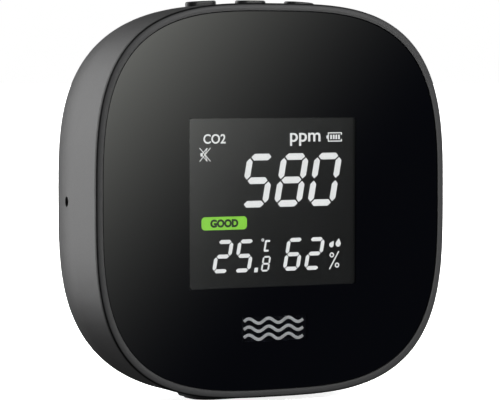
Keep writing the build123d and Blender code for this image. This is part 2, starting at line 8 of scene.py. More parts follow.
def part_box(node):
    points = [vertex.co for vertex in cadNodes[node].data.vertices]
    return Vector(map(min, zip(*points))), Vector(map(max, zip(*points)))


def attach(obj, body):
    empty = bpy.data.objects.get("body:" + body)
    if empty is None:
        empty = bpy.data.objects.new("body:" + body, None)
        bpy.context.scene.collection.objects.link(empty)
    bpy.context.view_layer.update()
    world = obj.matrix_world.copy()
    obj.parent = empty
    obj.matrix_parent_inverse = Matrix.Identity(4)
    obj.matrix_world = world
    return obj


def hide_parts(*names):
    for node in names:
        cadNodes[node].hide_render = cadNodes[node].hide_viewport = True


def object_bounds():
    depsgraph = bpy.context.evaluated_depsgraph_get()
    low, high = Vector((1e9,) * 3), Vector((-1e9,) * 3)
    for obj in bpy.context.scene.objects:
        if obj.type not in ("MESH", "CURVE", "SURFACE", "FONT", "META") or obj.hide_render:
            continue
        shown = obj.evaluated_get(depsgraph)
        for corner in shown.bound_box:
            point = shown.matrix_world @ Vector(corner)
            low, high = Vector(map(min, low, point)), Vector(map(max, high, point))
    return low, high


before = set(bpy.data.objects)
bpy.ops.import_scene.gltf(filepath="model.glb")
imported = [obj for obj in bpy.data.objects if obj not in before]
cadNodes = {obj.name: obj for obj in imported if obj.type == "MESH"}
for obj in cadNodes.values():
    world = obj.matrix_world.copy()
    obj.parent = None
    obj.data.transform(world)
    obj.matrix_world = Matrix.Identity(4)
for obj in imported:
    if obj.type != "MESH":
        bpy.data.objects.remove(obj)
cadLow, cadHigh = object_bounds()
mm = 0.001
print("frame loaded:", len(cadNodes), "CAD pieces")


def boxMiddle(node):
    low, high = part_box(node)
    return (low + high) / 2


# in these helpers a value can be plain or another node's output, and _ stands for a space in a socket's name

def feed(tree, value, socket):
    if isinstance(value, bpy.types.NodeSocket):
        tree.links.new(value, socket)
    else:
        socket.default_value = value


def addNode(tree, kind, fields=None, **sockets):
    node = tree.nodes.new(kind)
    for field, value in (fields or {}).items():
        setattr(node, field, value)
    for socket, value in sockets.items():
        feed(tree, value, node.inputs[socket.replace("_", " ")])
    return node


def calc(tree, operation, first, second=0.0):
    node = tree.nodes.new("ShaderNodeMath")
    node.operation = operation
    feed(tree, first, node.inputs[0])
    feed(tree, second, node.inputs[1])
    return node.outputs[0]


def newFinish(name, **shaderSockets):
    finish = bpy.data.materials.new(name)
    finish.use_nodes = True
    tree = finish.node_tree
    tree.nodes.clear()
    shader = addNode(tree, "ShaderNodeBsdfPrincipled", **shaderSockets)
    output = addNode(tree, "ShaderNodeOutputMaterial")
    tree.links.new(shader.outputs[0], output.inputs["Surface"])
    return finish, tree, shader


def objectPlace(tree, stretch=(1, 1, 1)):
    place = addNode(tree, "ShaderNodeTexCoord").outputs["Object"]
    return addNode(tree, "ShaderNodeMapping", Vector=place, Scale=stretch).outputs["Vector"]


def lumps(tree, scale, detail=2.0, stretch=(1, 1, 1), roughness=0.5):  # scale in lumps per metre
    return addNode(tree, "ShaderNodeTexNoise", Vector=objectPlace(tree, stretch), Scale=scale, Detail=detail,
                   Roughness=roughness).outputs["Fac"]


def colourBlend(tree, factor, dark, light, start=0.3, end=0.7):
    ramp = addNode(tree, "ShaderNodeValToRGB")
    for stop, place, colour in zip(ramp.color_ramp.elements, (start, end), (dark, light)):
        stop.position = place
        stop.color = (*colour, 1)
    tree.links.new(factor, ramp.inputs["Fac"])
    return ramp.outputs["Color"]


def spread(tree, factor, low, high):  # most of a noise lies between a quarter and three quarters
    return addNode(tree, "ShaderNodeMapRange", Value=factor, From_Min=0.25, From_Max=0.75, To_Min=low,
                   To_Max=high).outputs["Result"]


def embossed(tree, shader, height, depth, strength=1.0):
    bump = addNode(tree, "ShaderNodeBump", Height=height, Strength=strength, Distance=depth)
    tree.links.new(bump.outputs["Normal"], shader.inputs["Normal"])


# lumps per metre that several finishes share; a look may give its own cloud or dust
commonLumps = {"cloud": 60, "dust": 900, "tarnish": 350, "patch": 260, "fleck": 5000, "inkDots": 4200}


def mouldedPlastic(name, look):
    finish, tree, shader = newFinish(name)
    cloud = lumps(tree, look.get("cloud", commonLumps["cloud"]), 3)
    grain = lumps(tree, look["grain"], 4, roughness=0.65)
    tree.links.new(colourBlend(tree, cloud, look["dark"], look["light"]), shader.inputs["Base Color"])
    tree.links.new(spread(tree, grain, *look["roughness"]), shader.inputs["Roughness"])
    embossed(tree, shader, grain, look["depth"])
    return finish


def softRubber(name, look):
    finish, tree, shader = newFinish(name, Specular_IOR_Level=0.35, Sheen_Weight=0.15, Sheen_Roughness=0.5)
    dust = lumps(tree, look.get("dust", commonLumps["dust"]), 6, roughness=0.7)
    skin = lumps(tree, look["grain"], 3)
    tree.links.new(colourBlend(tree, dust, look["dark"], look["light"]), shader.inputs["Base Color"])
    tree.links.new(spread(tree, skin, *look["roughness"]), shader.inputs["Roughness"])
    embossed(tree, shader, skin, look["depth"])
    return finish


def platedMetal(name, look):
    finish, tree, shader = newFinish(name, Metallic=1.0)
    brushed = lumps(tree, look["grain"], 4, stretch=look.get("stretch", (1, 1, 1)))
    tarnish = lumps(tree, commonLumps["tarnish"], 3)
    tree.links.new(colourBlend(tree, tarnish, look["dark"], look["light"]), shader.inputs["Base Color"])
    tree.links.new(spread(tree, brushed, *look["roughness"]), shader.inputs["Roughness"])
    embossed(tree, shader, brushed, look["depth"])
    return finish


def rimSatinPaintedShade(name):
    # satin in front and at the sides, with painted shade on the rounded edge between them and a painted lit
    # tone in front, both chosen by which way the surface faces, and slightly crowned in front
    # painted shade and light: the rounded edge's colour is painted shade, and the front's colour is a painted
    # lit tone
    look = {"edge": (0.004, 0.004, 0.0045), "face": (0.105, 0.105, 0.107), "side": (0.034, 0.034, 0.035),
            "sideEnds": (0.08, 0.3), "faceStarts": (0.88, 1.0), "blur": 0.04,
            "grain": 3800, "roughness": (0.42, 0.5), "depth": 0.000005,
            "power": 3.2, "crown": 0.00026, "crownFrom": 1.3 * mm}
    finish, tree, shader = newFinish(name, Specular_IOR_Level=0.2)
    turned = addNode(tree, "ShaderNodeTexCoord").outputs["Normal"]
    backwards = addNode(tree, "ShaderNodeSeparateXYZ", Vector=turned).outputs["Y"]
    towardsFront = calc(tree, "MULTIPLY", backwards, -1.0)
    grain = lumps(tree, look["grain"], 4, roughness=0.65)
    # painted shade and light by facing: dark on the rounded edge, light on the front, and the side's tone in
    # between
    uneven = calc(tree, "ADD", towardsFront, calc(tree, "MULTIPLY", grain, look["blur"]))
    sideToShadedEdge = colourBlend(tree, uneven, look["side"], look["edge"], *look["sideEnds"])
    litFaceShare = colourBlend(tree, uneven, (0, 0, 0), (1, 1, 1), *look["faceStarts"])
    paintedFacingShade = addNode(tree, "ShaderNodeMix", {"data_type": "RGBA"})
    first, second = [k for k in paintedFacingShade.inputs if k.type == "RGBA"]
    tree.links.new(litFaceShare, paintedFacingShade.inputs["Factor"])
    tree.links.new(sideToShadedEdge, first)
    second.default_value = (*look["face"], 1)
    tree.links.new([k for k in paintedFacingShade.outputs if k.type == "RGBA"][0], shader.inputs["Base Color"])
    tree.links.new(spread(tree, grain, *look["roughness"]), shader.inputs["Roughness"])
    # how far a point lies out from the crown's start, in millimetres, on the rim's rounded square
    low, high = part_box("front_frame")
    middle, half = (low + high) / 2, (high - low) / 2
    part = addNode(tree, "ShaderNodeSeparateXYZ", Vector=objectPlace(tree)).outputs
    sums = []
    for axis in ("X", "Z"):
        fromMiddle = calc(tree, "SUBTRACT", part[axis], getattr(middle, axis.lower()))
        share = calc(tree, "ABSOLUTE", calc(tree, "DIVIDE", fromMiddle, getattr(half, axis.lower())))
        sums.append(calc(tree, "POWER", share, look["power"]))
    reach = calc(tree, "POWER", calc(tree, "ADD", *sums), 1 / look["power"])
    beyond = calc(tree, "SUBTRACT", reach, 1 - look["crownFrom"] / half.x)
    outward = calc(tree, "MAXIMUM", calc(tree, "MULTIPLY", beyond, half.x / mm), 0.0)
    dome = calc(tree, "MULTIPLY", calc(tree, "POWER", outward, 2.0), -1.0)
    crown = addNode(tree, "ShaderNodeBump", Height=dome, Distance=look["crown"])
    skin = addNode(tree, "ShaderNodeBump", Height=grain, Distance=look["depth"])
    tree.links.new(crown.outputs["Normal"], skin.inputs["Normal"])
    tree.links.new(skin.outputs["Normal"], shader.inputs["Normal"])
    return finish


def insideBox(tree, part, low, high):  # 1 between two corners on the glass, 0 outside them
    sides = [calc(tree, "GREATER_THAN", part["X"], low[0]), calc(tree, "LESS_THAN", part["X"], high[0]),
             calc(tree, "GREATER_THAN", part["Z"], low[1]), calc(tree, "LESS_THAN", part["Z"], high[1])]
    return calc(tree, "MULTIPLY", calc(tree, "MULTIPLY", sides[0], sides[1]),
                calc(tree, "MULTIPLY", sides[2], sides[3]))


def smokedGlass(name):
    # clear over the window and the emblem, and black where the print is bonded to its back
    look = {"tint": (0.62, 0.63, 0.65), "backed": (0.0042, 0.0047, 0.007), "step": (0.4, 0.6),
            "smear": 90, "roughness": (0.0, 0.025)}
    finish, tree, shader = newFinish(name, IOR=1.5)
    part = addNode(tree, "ShaderNodeSeparateXYZ", Vector=objectPlace(tree)).outputs
    clear = calc(tree, "MAXIMUM", insideBox(tree, part, *clearWindow), insideBox(tree, part, *clearEmblem))
    tree.links.new(colourBlend(tree, clear, look["backed"], look["tint"], *look["step"]),
                   shader.inputs["Base Color"])
    tree.links.new(clear, shader.inputs["Transmission Weight"])
    tree.links.new(spread(tree, lumps(tree, look["smear"], 2), *look["roughness"]),
                   shader.inputs["Roughness"])
    return finish


def blackPrint(name):
    look = {"dark": (0.006, 0.0065, 0.009), "light": (0.008, 0.0085, 0.012), "dots": 4000,
            "roughness": (0.35, 0.5), "depth": 0.000002}
    finish, tree, shader = newFinish(name, Specular_IOR_Level=0.02)
    dots = lumps(tree, look["dots"], 2)
    tree.links.new(colourBlend(tree, dots, look["dark"], look["light"]), shader.inputs["Base Color"])
    tree.links.new(spread(tree, dots, *look["roughness"]), shader.inputs["Roughness"])
    embossed(tree, shader, dots, look["depth"])
    return finish


def displayGlass(name):
    # a dark display lets a little of its own back light through, unevenly
    look = {"base": (0.004, 0.004, 0.004), "leak": (0.97, 1.0, 0.96), "glow": (0.011, 0.015),
            "cell": 70, "grain": 6000, "roughness": (0.12, 0.2), "depth": 0.000001}
    finish, tree, shader = newFinish(name, Emission_Color=(*look["leak"], 1))
    cell = lumps(tree, look["cell"], 2)
    grain = lumps(tree, look["grain"], 2)
    tree.links.new(colourBlend(tree, grain, look["base"], [2 * c for c in look["base"]]),
                   shader.inputs["Base Color"])
    tree.links.new(spread(tree, cell, *look["glow"]), shader.inputs["Emission Strength"])
    tree.links.new(spread(tree, grain, *look["roughness"]), shader.inputs["Roughness"])
    embossed(tree, shader, grain, look["depth"])
    return finish


def litInk(name, look):
    # light from the guide is a little uneven across a lit segment
    finish, tree, shader = newFinish(name, Roughness=0.6)
    uneven = lumps(tree, commonLumps["patch"], 2)
    fine = lumps(tree, commonLumps["fleck"], 2)
    shades = [tuple(c * share for c in look["colour"]) for share in look["shares"]]
    bodyShare = 0.3  # the ink's own colour is a darker one than its light
    tree.links.new(colourBlend(tree, uneven, *shades), shader.inputs["Emission Color"])
    shader.inputs["Emission Strength"].default_value = look["strength"]
    tree.links.new(colourBlend(tree, fine, *[[c * bodyShare for c in shade] for shade in shades]),
                   shader.inputs["Base Color"])
    return finish


def flatInk(name, look):
    finish, tree, shader = newFinish(name)
    surface = {"roughness": (0.4, 0.6), "depth": 0.000002}
    dots = lumps(tree, commonLumps["inkDots"], 2)
    tree.links.new(colourBlend(tree, dots, look["dark"], look["light"]), shader.inputs["Base Color"])
    tree.links.new(spread(tree, dots, *surface["roughness"]), shader.inputs["Roughness"])
    embossed(tree, shader, dots, surface["depth"])
    return finish


def solderMask(name):
    # copper tracks show as lighter stripes under the green lacquer
    look = {"lacquer": (0.006, 0.062, 0.022), "track": (0.02, 0.13, 0.045), "pitch": 420, "wander": 2.2,
            "trackEdge": (0.62, 0.68), "skin": 1500, "roughness": (0.28, 0.42), "depth": 0.00002}
    finish, tree, shader = newFinish(name, Coat_Weight=0.4, Coat_Roughness=0.1)
    tracks = addNode(tree, "ShaderNodeTexWave", {"bands_direction": "DIAGONAL"}, Scale=look["pitch"],
                     Distortion=look["wander"], Detail=1.0, Detail_Scale=0.4)
    tree.links.new(objectPlace(tree), tracks.inputs["Vector"])
    stripes = colourBlend(tree, tracks.outputs["Fac"], look["lacquer"], look["track"], *look["trackEdge"])
    tree.links.new(stripes, shader.inputs["Base Color"])
    tree.links.new(spread(tree, lumps(tree, look["skin"]), *look["roughness"]), shader.inputs["Roughness"])
    embossed(tree, shader, tracks.outputs["Fac"], look["depth"])
    return finish


def foilPouch(name):
    look = {"dark": (0.36, 0.37, 0.39), "light": (0.5, 0.51, 0.53), "creases": 380, "shade": 200,
            "roughness": (0.28, 0.42), "depth": 0.00015, "strength": 0.5}
    finish, tree, shader = newFinish(name, Metallic=1.0)
    creases = addNode(tree, "ShaderNodeTexVoronoi", {"feature": "SMOOTH_F1"}, Scale=look["creases"])
    tree.links.new(objectPlace(tree), creases.inputs["Vector"])
    crease = creases.outputs["Distance"]
    tree.links.new(colourBlend(tree, lumps(tree, look["shade"]), look["dark"], look["light"]),
                   shader.inputs["Base Color"])
    tree.links.new(spread(tree, crease, *look["roughness"]), shader.inputs["Roughness"])
    embossed(tree, shader, crease, look["depth"], look["strength"])
    return finish


def stripedRubber(name):
    # thin carbon layers between insulating ones carry the display's contacts
    look = {"pale": (0.42, 0.24, 0.2), "carbon": (0.012, 0.012, 0.012), "scale": 800.0,
            "layerEdge": (0.45, 0.6), "skin": 2500, "roughness": (0.6, 0.75), "depth": 0.00001}
    finish, tree, shader = newFinish(name, Specular_IOR_Level=0.35)
    layers = addNode(tree, "ShaderNodeTexWave", Scale=look["scale"])
    tree.links.new(objectPlace(tree), layers.inputs["Vector"])
    tree.links.new(colourBlend(tree, layers.outputs["Fac"], look["pale"], look["carbon"], *look["layerEdge"]),
                   shader.inputs["Base Color"])
    tree.links.new(spread(tree, lumps(tree, look["skin"]), *look["roughness"]), shader.inputs["Roughness"])
    embossed(tree, shader, layers.outputs["Fac"], look["depth"])
    return finish


def porousMembrane(name):
    look = {"dark": (0.55, 0.55, 0.53), "light": (0.84, 0.84, 0.82), "pores": 2600.0, "depth": 0.00006}
    finish, tree, shader = newFinish(name, Sheen_Weight=0.3, Roughness=0.9)
    pores = addNode(tree, "ShaderNodeTexVoronoi", Scale=look["pores"])
    tree.links.new(objectPlace(tree), pores.inputs["Vector"])
    tree.links.new(colourBlend(tree, pores.outputs["Distance"], look["dark"], look["light"]),
                   shader.inputs["Base Color"])
    embossed(tree, shader, pores.outputs["Distance"], look["depth"])
    return finish


def windowEdges():  # the hole in the black print, from the corners that lie well inside its outer edge
    low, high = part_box("lens_mask")
    wellInside = 0.35  # as a share of the print's width, from its middle
    middle, reach = (low + high) / 2, (high.x - low.x) * wellInside
    inside = [v.co for v in cadNodes["lens_mask"].data.vertices
              if abs(v.co.x - middle.x) < reach and abs(v.co.z - middle.z) < reach]
    return [[extreme(p[axis] for p in inside) for axis in (0, 2)] for extreme in (min, max)]


windowLow, windowHigh = windowEdges()
# three waves of air in grey, a plain sign printed behind the glass under the window
emblemLook = {"height": -27.7, "wide": 14.5, "swing": 0.52, "waves": 3, "stroke": 0.66, "rows": 3,
              "pitch": 1.75, "clearBeside": 0.8, "clearRows": 1.6, "points": 73, "sides": 10,
              "flat": 0.4, "sunk": 0.6}
emblemMiddle = boxMiddle("front_lens") + Vector((0, 0, mm * emblemLook["height"]))
emblemReach = (mm * (emblemLook["wide"] / 2 + emblemLook["clearBeside"]),
               mm * emblemLook["pitch"] * emblemLook["clearRows"])

# the glass is clear a little past the window, and further on the left, because the camera stands on that side
clearLook = {"left": 0.42 * mm, "right": 0.0, "above": 0.05 * mm, "below": 0.05 * mm}
clearWindow = ((windowLow[0] - clearLook["left"], windowLow[1] - clearLook["below"]),
               (windowHigh[0] + clearLook["right"], windowHigh[1] + clearLook["above"]))
clearEmblem = ((emblemMiddle.x - emblemReach[0], emblemMiddle.z - emblemReach[1]),
               (emblemMiddle.x + emblemReach[0], emblemMiddle.z + emblemReach[1]))


def grey(value, tint=1.0):
    return (value, value, value * tint)


finishes = {
    "housing": mouldedPlastic("caseGrain", {
        "dark": grey(0.036, 1.03), "light": grey(0.041, 1.03), "cloud": 55, "grain": 2600,
        "roughness": (0.44, 0.52), "depth": 0.000012}),
    "frame": rimSatinPaintedShade("rimSatinPaintedShade"),
    "key": mouldedPlastic("keyGrain", {
        "dark": grey(0.02, 1.03), "light": grey(0.024, 1.03), "cloud": 90, "grain": 3000,
        "roughness": (0.4, 0.5), "depth": 0.00001}),
    "foot": softRubber("footRubber", {
        "dark": grey(0.014), "light": grey(0.024), "grain": 2200, "roughness": (0.75, 0.9),
        "depth": 0.00004}),
    "lens": smokedGlass("smokedLens"),
    "mask": blackPrint("windowPrint"),
    "adhesive": softRubber("blackTape", {
        "dark": grey(0.008), "light": grey(0.014), "grain": 1800, "roughness": (0.6, 0.75),
        "depth": 0.00002}),
    "display": displayGlass("displayGlass"),
    "light_guide": mouldedPlastic("lightGuide", {
        "dark": grey(0.66, 1.03), "light": grey(0.74, 1.03), "cloud": 120, "grain": 1400,
        "roughness": (0.08, 0.2), "depth": 0.00001}),
    "white_plastic": mouldedPlastic("holderWhite", {
        "dark": grey(0.56, 0.96), "light": grey(0.63, 0.97), "grain": 2400, "roughness": (0.42, 0.55),
        "depth": 0.00001}),
    "contact_rubber": stripedRubber("contactRubber"),
    "board": solderMask("solderMask"),
    "steel": platedMetal("platedSteel", {
        "dark": grey(0.42, 1.02), "light": grey(0.56, 1.02), "grain": 3000, "stretch": (1, 1, 0.15),
        "roughness": (0.2, 0.36), "depth": 0.000006}),
    "contact_metal": platedMetal("goldPins", {
        "dark": (0.62, 0.4, 0.13), "light": (0.78, 0.53, 0.2), "grain": 2600, "roughness": (0.16, 0.3),
        "depth": 0.000004}),
    "chip": mouldedPlastic("chipPackage", {
        "dark": grey(0.008), "light": grey(0.012), "grain": 5200, "roughness": (0.45, 0.6),
        "depth": 0.00001}),
    "capacitor": platedMetal("capacitorCan", {
        "dark": grey(0.5, 1.03), "light": grey(0.62, 1.03), "grain": 2200, "stretch": (1, 0.1, 1),
        "roughness": (0.25, 0.4), "depth": 0.000006}),
    "sensor_white": mouldedPlastic("sensorWhite", {
        "dark": grey(0.6, 0.97), "light": grey(0.68, 0.97), "grain": 1500, "roughness": (0.25, 0.36),
        "depth": 0.000008}),
    "filter": porousMembrane("filterMembrane"),
    "battery_foil": foilPouch("batteryFoil"),
    "foam": softRubber("foamTape", {
        "dark": grey(0.006), "light": grey(0.03), "grain": 1500, "dust": 2600,
        "roughness": (0.85, 0.95), "depth": 0.00012}),
    "lead": softRubber("leadRed", {
        "dark": (0.2, 0.006, 0.004), "light": (0.29, 0.011, 0.008), "grain": 1600,
        "roughness": (0.42, 0.55), "depth": 0.00001}),
    "plunger": mouldedPlastic("plungerBlack", {
        "dark": grey(0.009), "light": grey(0.014), "grain": 3600, "roughness": (0.35, 0.5),
        "depth": 0.000008}),
    "mesh": mouldedPlastic("screenThread", {
        "dark": grey(0.009), "light": grey(0.02), "grain": 9000, "roughness": (0.5, 0.65),
        "depth": 0.000006}),
}
litWhite = litInk("segmentWhite", {"colour": (1.0, 1.0, 0.965), "shares": (0.93, 1.0), "strength": 1.1})
litGreen = litInk("badgeGreen", {"colour": (0.235, 0.62, 0.04), "shares": (0.9, 1.0), "strength": 1.42})
badgeInk = flatInk("badgeInk", {"dark": (0.004, 0.014, 0.002), "light": (0.008, 0.022, 0.004)})
emblemInk = flatInk("emblemGrey", {"dark": grey(0.72), "light": grey(0.78)})

for node in cadNodes.values():
    for slot in node.material_slots:
        slot.material = finishes.get(slot.material.name.split(".")[0], slot.material)
cadNodes["front_lens"].visible_shadow = False
print("finishes:", len([*finishes.values(), litWhite, litGreen, badgeInk, emblemInk]))


# pieces made here: a finished one is a plain mesh with its place in its points

def pieceFromMesh(name, mesh, body, finish):
    piece = bpy.data.objects.new(name, mesh)
    bpy.context.scene.collection.objects.link(piece)
    mesh.materials.clear()
    mesh.materials.append(finish)
    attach(piece, body)
    return piece


def standUp(mesh, place):  # from flat on XY to upright on XZ, facing -Y
    mesh.transform(Matrix.Translation(place) @ Matrix.Rotation(math.radians(90), 4, "X"))


def nodeTree(name, inputs):
    tree = bpy.data.node_groups.new(name, "GeometryNodeTree")
    tree.interface.new_socket("Geometry", in_out="INPUT", socket_type="NodeSocketGeometry")
    for label, kind in inputs.items():
        tree.interface.new_socket(label, in_out="INPUT", socket_type="NodeSocket" + kind)
    tree.interface.new_socket("Geometry", in_out="OUTPUT", socket_type="NodeSocketGeometry")
    return tree, tree.nodes.new("NodeGroupInput").outputs


def endTree(tree, parts, finish):
    join = tree.nodes.new("GeometryNodeJoinGeometry")
    for part in parts:
        tree.links.new(part, join.inputs["Geometry"])
    real = addNode(tree, "GeometryNodeRealizeInstances", Geometry=join.outputs[0])
    painted = addNode(tree, "GeometryNodeSetMaterial", Geometry=real.outputs[0], Material=finish)
    output = tree.nodes.new("NodeGroupOutput")
    tree.links.new(painted.outputs[0], output.inputs["Geometry"])


def runTree(tree, mesh, values):
    source = bpy.data.objects.new(tree.name, mesh)
    bpy.context.scene.collection.objects.link(source)
    modifier = source.modifiers.new("build", "NODES")
    modifier.node_group = tree
    for item in tree.interface.items_tree:
        if item.item_type == "SOCKET" and item.in_out == "INPUT" and item.name in values:
            modifier[item.identifier] = values[item.name]
    depsgraph = bpy.context.evaluated_depsgraph_get()
    result = bpy.data.meshes.new_from_object(source.evaluated_get(depsgraph), depsgraph=depsgraph)
    source.modifiers.remove(modifier)
    bpy.data.objects.remove(source)
    return result


# black print on the back of the lens, a hair behind the glass so that the two faces don't share a plane
printLook = {"gap": 0.03 * mm, "merge": 0.0005 * mm}


def windowPrint():
    mesh = cadNodes["lens_mask"].data.copy()
    shape = bmesh.new()
    shape.from_mesh(mesh)
    bmesh.ops.remove_doubles(shape, verts=shape.verts, dist=printLook["merge"])
    low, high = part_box("lens_mask")
    thinner = 1 - printLook["gap"] / (high.y - low.y)
    for vert in shape.verts:
        vert.co.y = high.y + (vert.co.y - high.y) * thinner
    shape.to_mesh(mesh)
    shape.free()
    piece = pieceFromMesh("windowPrint", mesh, "housing", finishes["mask"])
    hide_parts("lens_mask")


# the lit display, in millimetres from the middle of the window, just in front of the display's glass
displayMiddle = Vector(((windowLow[0] + windowHigh[0]) / 2, 0, (windowLow[1] + windowHigh[1]) / 2))
inkLook = {"lift": 0.012 * mm, "thick": 0.02 * mm, "slant": 0.184}
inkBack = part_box("lcd_panel")[0].y - inkLook["lift"]
inkFront = inkBack - inkLook["thick"]

segmentPlaces = {  # across and up as shares of a digit's half width and half height, and whether it stands
    "a": (0, 1, False), "b": (1, 0.5, True), "c": (1, -0.5, True), "d": (0, -1, False),
    "e": (-1, -0.5, True), "f": (-1, 0.5, True), "g": (0, 0, False),
}
segmentsOf = {"0": "abcdef", "2": "abged", "5": "afgcd", "6": "afgedc", "8": "abcdefg"}
digitGroups = [  # halves are measured between stroke middles
    {"digits": "580", "middles": (-3.72, 4.58, 12.84), "height": 4.78, "halfWidth": 2.68, "halfHeight": 5.06,
     "stroke": 1.42, "gap": 0.25},
    {"digits": "25", "middles": (-12.12, -6.95), "height": -11.36, "halfWidth": 1.6, "halfHeight": 3.12,
     "stroke": 0.85, "gap": 0.13},
    {"digits": "62", "middles": (5.06, 10.3), "height": -11.36, "halfWidth": 1.6, "halfHeight": 3.12,
     "stroke": 0.85, "gap": 0.13},
    {"digits": "8", "middles": (-1.7,), "height": -13.22, "halfWidth": 0.78, "halfHeight": 1.48,
     "stroke": 0.38, "gap": 0.06},
]


def segmentTree():
    tree, given = nodeTree("litSegments", {"Across": "Float", "Upright": "Float", "Stroke": "Float",
                                           "Thickness": "Float", "Finish": "Material"})
    parts = []
    stands = addNode(tree, "GeometryNodeInputNamedAttribute", {"data_type": "BOOLEAN"}, Name="stands")
    lies = addNode(tree, "FunctionNodeBooleanMath", {"operation": "NOT"})
    tree.links.new(stands.outputs["Attribute"], lies.inputs[0])
    for length, turn, chosen in (("Across", 0, lies.outputs[0]),
                                 ("Upright", 90, stands.outputs["Attribute"])):
        blank = addNode(tree, "GeometryNodeMeshCylinder", Vertices=6, Radius=1.0, Depth=given["Thickness"])
        place = addNode(tree, "GeometryNodeInputPosition").outputs[0]
        part = addNode(tree, "ShaderNodeSeparateXYZ", Vector=place).outputs
        reach = calc(tree, "SUBTRACT", calc(tree, "DIVIDE", given[length], 2.0), given["Stroke"])
        along = calc(tree, "ADD", calc(tree, "MULTIPLY", part["X"], given["Stroke"]),
                     calc(tree, "MULTIPLY", calc(tree, "SIGN", part["X"]), reach))
        over = calc(tree, "MULTIPLY", part["Y"], calc(tree, "DIVIDE", given["Stroke"], math.sqrt(3)))
        pointed = addNode(tree, "ShaderNodeCombineXYZ", X=along, Y=over, Z=part["Z"]).outputs[0]
        shaped = addNode(tree, "GeometryNodeSetPosition", Geometry=blank.outputs["Mesh"], Position=pointed)
        parts.append(addNode(tree, "GeometryNodeInstanceOnPoints", Points=given["Geometry"], Selection=chosen,
                             Instance=shaped.outputs[0], Rotation=(0, 0, math.radians(turn))).outputs[0])
    endTree(tree, parts, given["Finish"])
    return tree


def digitMesh(tree, group):
    places, stands = [], []
    for digit, middle in zip(group["digits"], group["middles"]):
        for letter in segmentsOf[digit]:
            across, up, upright = segmentPlaces[letter]
            places.append((mm * (middle + across * group["halfWidth"]), mm * up * group["halfHeight"], 0))
            stands.append(upright)
    mesh = bpy.data.meshes.new("segmentPlaces")
    mesh.from_pydata(places, [], [])
    mesh.attributes.new("stands", "BOOLEAN", "POINT").data.foreach_set("value", stands)
    made = runTree(tree, mesh, {"Across": mm * 2 * (group["halfWidth"] - group["gap"]),
                                "Upright": mm * (group["halfHeight"] - 2 * group["gap"]),
                                "Stroke": mm * group["stroke"], "Thickness": inkLook["thick"],
                                "Finish": litWhite})
    lean = Matrix.Identity(4)
    lean[0][1] = inkLook["slant"]
    made.transform(lean)
    standUp(made, (displayMiddle.x, (inkBack + inkFront) / 2, displayMiddle.z + mm * group["height"]))
    return made


def joinedMesh(name, meshes):
    shape = bmesh.new()
    for mesh in meshes:
        shape.from_mesh(mesh)
    joined = bpy.data.meshes.new(name)
    shape.to_mesh(joined)
    shape.free()
    return joined


def litDigits():
    tree = segmentTree()
    meshes = [digitMesh(tree, group) for group in digitGroups]
    pieceFromMesh("displayDigits", joinedMesh("displayDigits", meshes), "housing", litWhite)


# flat shapes for the small signs: outlines in millimetres from the window's middle, anticlockwise

def plate(outline):
    count = len(outline)
    points = [(displayMiddle.x + mm * x, y, displayMiddle.z + mm * z)
              for y in (inkFront, inkBack) for x, z in outline]
    faces = [list(range(count)), list(range(2 * count - 1, count - 1, -1))]
    for i in range(count):
        j = (i + 1) % count
        faces.append([j, i, i + count, j + count])
    mesh = bpy.data.meshes.new("plate")
    mesh.from_pydata(points, [], faces)
    return mesh


def arc(middle, radius, start, end, steps):
    angles = [math.radians(start + (end - start) * i / steps) for i in range(steps + 1)]
    return [(middle[0] + radius * math.cos(a), middle[1] + radius * math.sin(a)) for a in angles]


def bar(start, end, width):
    along = Vector((end[0] - start[0], end[1] - start[1])).normalized() * width / 2
    side = Vector((-along.y, along.x))
    a, b = Vector(start), Vector(end)
    return plate([tuple(p) for p in (a - side, b - side, b + side, a + side)])


def ring(middle, outer, inner):
    steps = 20
    loops = [arc(middle, radius, 0, 360, steps)[:-1] for radius in (outer, inner)]
    points = [(displayMiddle.x + mm * x, y, displayMiddle.z + mm * z)
              for y in (inkFront, inkBack) for loop in loops for x, z in loop]
    faces = []
    for i in range(steps):
        j = (i + 1) % steps
        faces += [(i, j, steps + j, steps + i),  # front, back, outer wall, inner wall
                  (2 * steps + i, 3 * steps + i, 3 * steps + j, 2 * steps + j),
                  (j, i, 2 * steps + i, 2 * steps + j),
                  (steps + i, steps + j, 3 * steps + j, 3 * steps + i)]
    mesh = bpy.data.meshes.new("ring")
    mesh.from_pydata(points, [], faces)
    return mesh


def roundedPlate(middle, width, height, radius):
    outline = []
    for side, up, start in ((1, -1, -90), (1, 1, 0), (-1, 1, 90), (-1, -1, 180)):
        corner = (middle[0] + side * (width / 2 - radius), middle[1] + up * (height / 2 - radius))
        outline += arc(corner, radius, start, start + 90, steps=6)
    return plate(outline)


def drop(tip, middle, radius):
    toTip = Vector((tip[0] - middle[0], tip[1] - middle[1]))
    lean = math.degrees(math.atan2(toTip.y, toTip.x))
    opening = math.degrees(math.acos(radius / toTip.length))
    return plate([tip] + arc(middle, radius, lean + opening, lean + 360 - opening, steps=18))


batteryLook = {"left": 13.72, "right": 17.05, "top": 14.88, "bottom": 13.08, "line": 0.24, "bars": 4,
               "barWidth": 0.42, "barPitch": 0.66, "barHeight": 0.98, "dent": 0.14, "dentShare": 0.25,
               "capOut": 0.24, "capWidth": 0.42, "capHeight": 0.74, "capCorner": 0.15}


def barRowTree():
    tree, given = nodeTree("chargeBars", {"Count": "Int", "Pitch": "Float", "Size": "Vector",
                                          "Finish": "Material"})
    step = addNode(tree, "ShaderNodeCombineXYZ", X=given["Pitch"]).outputs[0]
    row = addNode(tree, "GeometryNodeMeshLine", Count=given["Count"], Offset=step)
    block = addNode(tree, "GeometryNodeMeshCube", Size=given["Size"])
    placed = addNode(tree, "GeometryNodeInstanceOnPoints", Points=row.outputs[0],
                     Instance=block.outputs["Mesh"])
    endTree(tree, [placed.outputs[0]], given["Finish"])
    return tree


